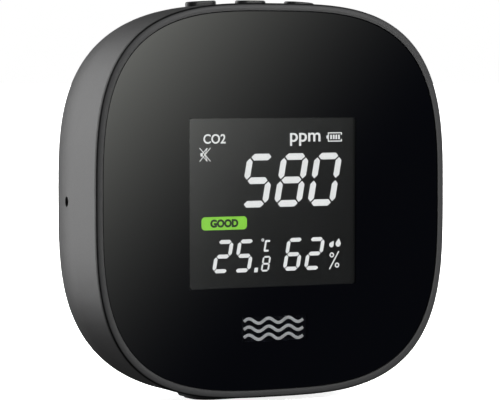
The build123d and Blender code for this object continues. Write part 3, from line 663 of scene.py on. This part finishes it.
def batterySign():
    look = batteryLook
    left, right, top, bottom, line = (look[key] for key in ("left", "right", "top", "bottom", "line"))
    dented, notch = right - look["dent"], (top - bottom) * look["dentShare"]
    signs = [bar((left - line / 2, top), (right, top), line),
             bar((left - line / 2, bottom), (right, bottom), line),
             bar((left, bottom), (left, top), line),
             bar((right, top), (dented, top - notch), line),
             bar((right, bottom), (dented, bottom + notch), line),
             roundedPlate((left - look["capOut"], (top + bottom) / 2), look["capWidth"], look["capHeight"],
                          look["capCorner"])]
    charge = runTree(barRowTree(), bpy.data.meshes.new("start"), {
        "Count": look["bars"], "Pitch": mm * look["barPitch"], "Finish": litWhite,
        "Size": (mm * look["barWidth"], mm * look["barHeight"], inkLook["thick"])})
    first = (left + right - (look["bars"] - 1) * look["barPitch"]) / 2
    standUp(charge, (displayMiddle.x + mm * first, (inkBack + inkFront) / 2,
                     displayMiddle.z + mm * (top + bottom) / 2))
    return signs + [charge]


mutedLook = {"left": -17.7, "right": -15.1, "top": 11.98, "bottom": 9.08, "line": 0.15,
             "boxLeft": 0.22, "boxRight": 0.74, "boxHalf": 0.36, "neckHalf": 0.3,
             "mouth": 1.82, "mouthHalf": 1.42, "fold": 1.3}


def mutedSign():  # a loudspeaker's box and cone, crossed out
    look = mutedLook
    left, right, top, bottom, line = (look[key] for key in ("left", "right", "top", "bottom", "line"))
    middle = (top + bottom) / 2
    boxLeft, boxRight, mouth, fold = (left + look[key] for key in ("boxLeft", "boxRight", "mouth", "fold"))
    below, above = middle - look["boxHalf"], middle + look["boxHalf"]
    signs = [plate([(boxLeft, below), (boxRight, below), (boxRight, above), (boxLeft, above)])]
    for side in (1, -1):
        signs.append(bar((boxRight, middle + side * look["neckHalf"]),
                         (mouth, middle + side * look["mouthHalf"]), line))
    for side in (-1, 1):
        signs.append(bar((mouth, middle + side * look["mouthHalf"]), (fold, middle), line))
    return signs + [bar((left, top), (right, bottom), line), bar((left, bottom), (right, top), line)]


unitLook = {  # a ring gives its middle, outer and inner radius; a drop its tip, middle and radius
    "degree": ((-2.44, -8.08), 0.33, 0.16),
    "celsius": {"top": -8.32, "bottom": -10.4, "left": -1.66, "wide": 0.98, "past": 0.1, "line": 0.42},
    "point": [(-4.6, -15.0), (-3.74, -15.0), (-3.58, -14.02), (-4.44, -14.02)],
    "percentRings": [((14.62, -11.8), 0.56, 0.28), ((15.92, -14.06), 0.56, 0.28)],
    "percentBar": ((14.02, -14.9), (16.36, -11.02), 0.3),
    "drops": [((15.1, -8.72), (14.52, -9.58), 0.55), ((16.4, -8.18), (16.2, -9.38), 0.64)],
}


def celsiusSign():  # the letter's upper stroke, its slanted back and its lower stroke
    look = unitLook["celsius"]
    top, bottom, left, wide, past, line = look.values()
    foot = left - inkLook["slant"] * (top - bottom)
    return [bar((left - past, top), (left + wide, top), line), bar((foot, bottom), (left, top), line),
            bar((foot - past, bottom), (foot + wide, bottom), line)]


def unitSigns():
    look = unitLook
    percent = [ring(*each) for each in look["percentRings"]] + [bar(*look["percentBar"])]
    drops = [drop(*each) for each in look["drops"]]
    return [ring(*look["degree"]), plate(look["point"])] + celsiusSign() + percent + drops


def litSigns():
    mesh = joinedMesh("displaySigns", batterySign() + mutedSign() + unitSigns())
    pieceFromMesh("displaySigns", mesh, "housing", litWhite)


def wordMesh(word, box, boldness, front=None, back=None):  # box is left, bottom, right, top in millimetres
    front = inkFront if front is None else front
    back = inkBack if back is None else back
    font = bpy.data.curves.new(word, "FONT")
    font.body = word
    font.offset = boldness
    font.extrude = 0.5
    font.resolution_u = 6
    writing = bpy.data.objects.new(word, font)
    bpy.context.scene.collection.objects.link(writing)
    depsgraph = bpy.context.evaluated_depsgraph_get()
    mesh = bpy.data.meshes.new_from_object(writing.evaluated_get(depsgraph), depsgraph=depsgraph)
    bpy.data.objects.remove(writing)
    lows = [min(v.co[axis] for v in mesh.vertices) for axis in range(3)]
    highs = [max(v.co[axis] for v in mesh.vertices) for axis in range(3)]
    wide, tall = mm * (box[2] - box[0]), mm * (box[3] - box[1])
    size = (wide / (highs[0] - lows[0]), tall / (highs[1] - lows[1]), back - front)
    middle = Vector([(low + high) / 2 for low, high in zip(lows, highs)])
    mesh.transform(Matrix.Diagonal((*size, 1)) @ Matrix.Translation(-middle))
    standUp(mesh, (displayMiddle.x + mm * (box[0] + box[2]) / 2, (front + back) / 2,
                   displayMiddle.z + mm * (box[1] + box[3]) / 2))
    return mesh


wordLook = {"CO2": {"box": (-16.78, 12.86, -11.45, 14.9), "boldness": 0.016},
            "ppm": {"box": (4.22, 12.14, 11.74, 14.98), "boldness": 0.012}}


def litWords():
    words = [wordMesh(word, **look) for word, look in wordLook.items()]
    pieceFromMesh("displayWords", joinedMesh("displayWords", words), "housing", litWhite)


badgeLook = {"middle": (-11.79, -4.24), "width": 10.94, "height": 2.82, "corner": 0.82,
             "word": "GOOD", "wordBox": (-15.15, -5.14, -8.41, -3.36), "boldness": 0.058,
             "clearance": 0.002 * mm}


def qualityBadge():
    look = badgeLook
    field = roundedPlate(look["middle"], look["width"], look["height"], look["corner"])
    pieceFromMesh("qualityBadge", field, "housing", litGreen)
    letters = wordMesh(look["word"], look["wordBox"], look["boldness"],
                       inkFront - inkLook["thick"], inkFront - look["clearance"])
    pieceFromMesh("badgeWord", letters, "housing", badgeInk)


def airWaveTree():
    tree, given = nodeTree("airWaves", {"Wide": "Float", "Swing": "Float", "Waves": "Float",
                                        "Stroke": "Float", "Rows": "Int", "Pitch": "Float",
                                        "Points": "Int", "Sides": "Int", "Finish": "Material"})
    end = addNode(tree, "ShaderNodeCombineXYZ", X=given["Wide"]).outputs[0]
    line = addNode(tree, "GeometryNodeCurvePrimitiveLine", End=end)
    fine = addNode(tree, "GeometryNodeResampleCurve", Curve=line.outputs[0], Count=given["Points"])
    place = addNode(tree, "GeometryNodeInputPosition").outputs[0]
    part = addNode(tree, "ShaderNodeSeparateXYZ", Vector=place).outputs
    turns = calc(tree, "MULTIPLY", calc(tree, "DIVIDE", part["X"], given["Wide"]), given["Waves"])
    wave = calc(tree, "SINE", calc(tree, "MULTIPLY", turns, 2 * math.pi))
    swing = calc(tree, "MULTIPLY", wave, given["Swing"])
    offset = addNode(tree, "ShaderNodeCombineXYZ", Y=swing).outputs[0]
    waved = addNode(tree, "GeometryNodeSetPosition", Geometry=fine.outputs[0], Offset=offset)
    nib = addNode(tree, "GeometryNodeCurvePrimitiveCircle", Resolution=given["Sides"],
                  Radius=calc(tree, "DIVIDE", given["Stroke"], 2.0))
    drawn = addNode(tree, "GeometryNodeCurveToMesh", Curve=waved.outputs[0],
                    Profile_Curve=nib.outputs["Curve"], Fill_Caps=True)
    step = addNode(tree, "ShaderNodeCombineXYZ", Y=given["Pitch"]).outputs[0]
    rows = addNode(tree, "GeometryNodeMeshLine", Count=given["Rows"], Offset=step)
    placed = addNode(tree, "GeometryNodeInstanceOnPoints", Points=rows.outputs[0], Instance=drawn.outputs[0])
    endTree(tree, [placed.outputs[0]], given["Finish"])
    return tree


def airEmblem():
    look = emblemLook
    mesh = runTree(airWaveTree(), bpy.data.meshes.new("start"), {
        "Wide": mm * look["wide"], "Swing": mm * look["swing"], "Waves": float(look["waves"]),
        "Stroke": mm * look["stroke"], "Rows": look["rows"], "Pitch": mm * look["pitch"],
        "Points": look["points"], "Sides": look["sides"], "Finish": emblemInk})
    gap = printLook["gap"]
    thin = look["flat"] * gap / (mm * look["stroke"])  # the ink is a flat layer in the gap behind the glass
    mesh.transform(Matrix.Diagonal((1, 1, thin, 1)))
    standUp(mesh, (emblemMiddle.x - mm * look["wide"] / 2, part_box("lens_mask")[0].y + look["sunk"] * gap,
                   emblemMiddle.z - mm * look["pitch"] * (look["rows"] - 1) / 2))
    pieceFromMesh("airEmblem", mesh, "housing", emblemInk)


# the dust screen behind the upper vents, woven thread by thread
weaveLook = {"pitch": 0.6, "thread": 0.16, "swing": 0.075, "sides": 5}


def weaveTree():
    tree, given = nodeTree("dustWeave", {"Wide": "Float", "Tall": "Float", "Pitch": "Float",
                                         "Thread": "Float", "Swing": "Float", "Sides": "Int",
                                         "Finish": "Material"})
    parts = []
    for length, rows, turn in (("Wide", "Tall", 0), ("Tall", "Wide", 90)):
        half = calc(tree, "DIVIDE", given[length], 2.0)
        first = addNode(tree, "ShaderNodeCombineXYZ", X=calc(tree, "MULTIPLY", half, -1.0)).outputs[0]
        last = addNode(tree, "ShaderNodeCombineXYZ", X=half).outputs[0]
        line = addNode(tree, "GeometryNodeCurvePrimitiveLine", Start=first, End=last)
        crossings = calc(tree, "DIVIDE", given[length], given["Pitch"])
        bends = calc(tree, "ADD", calc(tree, "MULTIPLY", crossings, 2.0), 1.0)
        fine = addNode(tree, "GeometryNodeResampleCurve", Curve=line.outputs[0], Count=bends)
        place = addNode(tree, "GeometryNodeInputPosition").outputs[0]
        x = addNode(tree, "ShaderNodeSeparateXYZ", Vector=place).outputs["X"]
        phase = calc(tree, "MULTIPLY", calc(tree, "DIVIDE", x, given["Pitch"]), math.pi)
        swing = calc(tree, "MULTIPLY", calc(tree, "COSINE", phase), given["Swing"])
        waved = addNode(tree, "GeometryNodeSetPosition", Geometry=fine.outputs[0],
                        Offset=addNode(tree, "ShaderNodeCombineXYZ", Z=swing).outputs[0])
        threadRound = addNode(tree, "GeometryNodeCurvePrimitiveCircle", Resolution=given["Sides"],
                              Radius=calc(tree, "DIVIDE", given["Thread"], 2.0))
        thread = addNode(tree, "GeometryNodeCurveToMesh", Curve=waved.outputs[0],
                         Profile_Curve=threadRound.outputs["Curve"], Fill_Caps=True)
        # an odd count of threads, so that one lies on the middle line
        fitting = calc(tree, "DIVIDE", given[rows], given["Pitch"])
        each = calc(tree, "FLOOR", calc(tree, "DIVIDE", fitting, 2.0))
        start = calc(tree, "MULTIPLY", calc(tree, "MULTIPLY", each, -1.0), given["Pitch"])
        along = {"X": start} if turn else {"Y": start}
        onward = {"X": given["Pitch"]} if turn else {"Y": given["Pitch"]}
        row = addNode(tree, "GeometryNodeMeshLine",
                      Count=calc(tree, "ADD", calc(tree, "MULTIPLY", each, 2.0), 1.0),
                      Start_Location=addNode(tree, "ShaderNodeCombineXYZ", **along).outputs[0],
                      Offset=addNode(tree, "ShaderNodeCombineXYZ", **onward).outputs[0])
        number = calc(tree, "SUBTRACT", addNode(tree, "GeometryNodeInputIndex").outputs[0], each)
        over = calc(tree, "MULTIPLY", calc(tree, "ADD", number, 1.0 if turn else 0.0), math.pi)
        rotation = addNode(tree, "ShaderNodeCombineXYZ", X=over, Z=math.radians(turn)).outputs[0]
        parts.append(addNode(tree, "GeometryNodeInstanceOnPoints", Points=row.outputs[0],
                             Instance=thread.outputs[0], Rotation=rotation).outputs[0])
    endTree(tree, parts, given["Finish"])
    return tree


def dustWeave():
    low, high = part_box("dust_screen")
    look = weaveLook
    trim = mm * (look["thread"] + look["swing"])  # keeps the thread ends inside the screen's edges
    mesh = runTree(weaveTree(), bpy.data.meshes.new("start"), {
        "Wide": high.x - low.x - trim, "Tall": high.z - low.z - trim, "Pitch": mm * look["pitch"],
        "Thread": mm * look["thread"], "Swing": mm * look["swing"], "Sides": look["sides"],
        "Finish": finishes["mesh"]})
    standUp(mesh, (low + high) / 2)
    piece = pieceFromMesh("dustWeave", mesh, "housing", finishes["mesh"])
    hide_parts("dust_screen")


windowPrint()
litDigits()
litSigns()
litWords()
qualityBadge()
airEmblem()
dustWeave()
print("display, print and dust screen made")


# studio: a pale floor with its own lamp, a dim room, soft boxes, and a graded card that the glass mirrors

def stagePiece(name, mesh, finish):
    piece = bpy.data.objects.new(name, mesh)
    bpy.context.scene.collection.objects.link(piece)
    mesh.materials.append(finish)
    return piece


def paleFloor():
    look = {"radius": 12.0, "sides": 64, "below": 0.02 * mm, "pale": grey(0.78), "paler": grey(0.82),
            "mottle": 900, "glow": 0.84}
    mesh = bpy.data.meshes.new("floor")
    sides = look["sides"]
    outline = [(look["radius"] * math.cos(a), look["radius"] * math.sin(a), cadLow.z - look["below"])
               for a in (2 * math.pi * i / sides for i in range(sides))]
    mesh.from_pydata(outline, [], [list(range(sides))])
    finish, tree, shader = newFinish("palePaper", Roughness=0.9, Specular_IOR_Level=0.1,
                                     Emission_Color=(1, 1, 1, 1), Emission_Strength=look["glow"])
    tree.links.new(colourBlend(tree, lumps(tree, look["mottle"], 3), look["pale"], look["paler"]),
                   shader.inputs["Base Color"])
    floor = stagePiece("floor", mesh, finish)
    floor.visible_glossy = floor.visible_transmission = floor.visible_diffuse = floor.visible_shadow = False
    return floor


def softBox(name, place, aim, size, watts):
    lamp = bpy.data.lights.new(name, "AREA")
    lamp.shape = "RECTANGLE"
    lamp.size, lamp.size_y = size
    lamp.energy = watts
    box = bpy.data.objects.new(name, lamp)
    bpy.context.scene.collection.objects.link(box)
    box.location = place
    box.rotation_euler = (Vector(aim) - Vector(place)).to_track_quat("-Z", "Y").to_euler()


floorSunLook = {"energy": 4.6, "angle": 70}


def floorSun(floor):  # wide and even, and it lights the floor only
    lamp = bpy.data.lights.new("floorSun", "SUN")
    lamp.energy, lamp.angle = floorSunLook["energy"], math.radians(floorSunLook["angle"])
    sun = bpy.data.objects.new("floorSun", lamp)
    bpy.context.scene.collection.objects.link(sun)
    group = bpy.data.collections.new("floorOnly")
    group.objects.link(floor)
    sun.light_linking.receiver_collection = group


def room():
    look = {"background": 1.0, "onSurfaces": 0.12, "inGloss": 0.035}
    world = bpy.data.worlds.new("room")
    bpy.context.scene.world = world
    world.use_nodes = True
    tree = world.node_tree
    tree.nodes.clear()
    path = addNode(tree, "ShaderNodeLightPath")
    dim = addNode(tree, "ShaderNodeMix", {"data_type": "FLOAT"})
    mirrored = calc(tree, "MAXIMUM", path.outputs["Is Glossy Ray"], path.outputs["Is Transmission Ray"])
    tree.links.new(mirrored, dim.inputs["Factor"])
    dim.inputs["A"].default_value = look["onSurfaces"]
    dim.inputs["B"].default_value = look["inGloss"]
    bright = addNode(tree, "ShaderNodeMix", {"data_type": "FLOAT"})
    tree.links.new(path.outputs["Is Camera Ray"], bright.inputs["Factor"])
    tree.links.new(dim.outputs["Result"], bright.inputs["A"])
    bright.inputs["B"].default_value = look["background"]
    light = addNode(tree, "ShaderNodeBackground", Color=(1, 1, 1, 1), Strength=bright.outputs["Result"])
    output = addNode(tree, "ShaderNodeOutputWorld")
    tree.links.new(light.outputs[0], output.inputs["Surface"])


# darkFrom and span are measured on the glass, along the way the glow falls
cardLook = {"away": 1.6, "wide": 0.9, "strength": 4.3, "fall": 3.2, "uphill": 137.9, "darkFrom": 23.6 * mm,
            "span": 79 * mm, "cap": 1.2, "colour": (0.985, 1.0, 0.93)}


def gradedCard(faceMiddle, viewpoint):
    # stands where the camera sees it mirrored in the lens
    # brightest at its upper left, and dark from a little past its middle
    look = cardLook
    reach = look["away"] / (faceMiddle.y - viewpoint.y)
    mirrored = Vector((faceMiddle.x + (faceMiddle.x - viewpoint.x) * reach, faceMiddle.y - look["away"],
                       faceMiddle.z + (faceMiddle.z - viewpoint.z) * reach))
    zoom = 1 + reach
    half = look["wide"] / 2
    points = [(mirrored.x + a * half, mirrored.y, mirrored.z + b * half) for a, b in
              ((-1, -1), (-1, 1), (1, 1), (1, -1))]
    mesh = bpy.data.meshes.new("gradedCard")
    mesh.from_pydata(points, [], [[0, 1, 2, 3]])
    finish = bpy.data.materials.new("cardGlow")
    finish.use_nodes = True
    tree = finish.node_tree
    tree.nodes.clear()
    place = addNode(tree, "ShaderNodeTexCoord").outputs["Object"]
    part = addNode(tree, "ShaderNodeSeparateXYZ", Vector=place).outputs
    uphill = math.radians(look["uphill"])
    across = calc(tree, "MULTIPLY", calc(tree, "SUBTRACT", part["X"], mirrored.x), math.cos(uphill))
    up = calc(tree, "MULTIPLY", calc(tree, "SUBTRACT", part["Z"], mirrored.z), math.sin(uphill))
    onGlass = calc(tree, "DIVIDE", calc(tree, "ADD", across, up), zoom)
    rise = calc(tree, "DIVIDE", calc(tree, "ADD", onGlass, look["darkFrom"]), look["span"])
    share = calc(tree, "MINIMUM", calc(tree, "MAXIMUM", rise, 0.0), look["cap"])
    glow = calc(tree, "MULTIPLY", calc(tree, "POWER", share, look["fall"]), look["strength"])
    light = addNode(tree, "ShaderNodeEmission", Color=(*look["colour"], 1), Strength=glow)
    output = addNode(tree, "ShaderNodeOutputMaterial")
    tree.links.new(light.outputs[0], output.inputs["Surface"])
    card = stagePiece("gradedCard", mesh, finish)
    card.visible_camera = card.visible_diffuse = card.visible_shadow = False


boxLook = {  # places and sizes in metres, and every box faces its aim
    "leftBackBox": {"place": (-0.85, 1.15, 0.42), "aim": (0, 0, 0.05), "size": (1.2, 1.6), "watts": 20.5},
    "rightBackBox": {"place": (1.25, 0.75, 0.6), "aim": (0, 0, 0.045), "size": (0.5, 0.8), "watts": 8},
    "topBox": {"place": (-0.1, 1.3, 0.95), "aim": (0, 0, 0.04), "size": (0.8, 0.5), "watts": 0.8},
    "rimBox": {"place": (0.66, -1.23, 0.78), "aim": (0, 0, 0.045), "size": (0.7, 0.4), "watts": 12},
}


def studio(faceMiddle, viewpoint):
    floor = paleFloor()
    floorSun(floor)
    for name, look in boxLook.items():
        softBox(name, **look)
    room()
    gradedCard(faceMiddle, viewpoint)


# the camera stands left of the front, a little above the middle of the glass
cameraLook = {"azimuth": -27.69, "lift": 2.579, "distance": 0.63283, "aimAcross": -6.173 * mm,
              "aimUp": 0.244 * mm, "focalLength": 212.19, "nearest": 0.01, "farthest": 60}


def placeCamera(faceMiddle):
    look = cameraLook
    aim = faceMiddle + Vector((look["aimAcross"], 0, look["aimUp"]))
    azimuth, lift = math.radians(look["azimuth"]), math.radians(look["lift"])
    back = Vector((math.sin(azimuth) * math.cos(lift), -math.cos(azimuth) * math.cos(lift), math.sin(lift)))
    camera = bpy.data.objects.new("camera", bpy.data.cameras.new("camera"))
    bpy.context.scene.collection.objects.link(camera)
    camera.location = aim + back * look["distance"]
    camera.rotation_mode = "QUATERNION"
    camera.rotation_quaternion = (-back).to_track_quat("-Z", "Y")
    camera.data.lens = look["focalLength"]
    camera.data.clip_start, camera.data.clip_end = look["nearest"], look["farthest"]
    bpy.context.scene.camera = camera
    return camera


frontMiddle = Vector((0, cadLow.y, boxMiddle("front_lens").z))
camera = placeCamera(frontMiddle)
studio(frontMiddle, camera.location)
bpy.context.scene.view_settings.view_transform = "Standard"
print("studio and camera set")
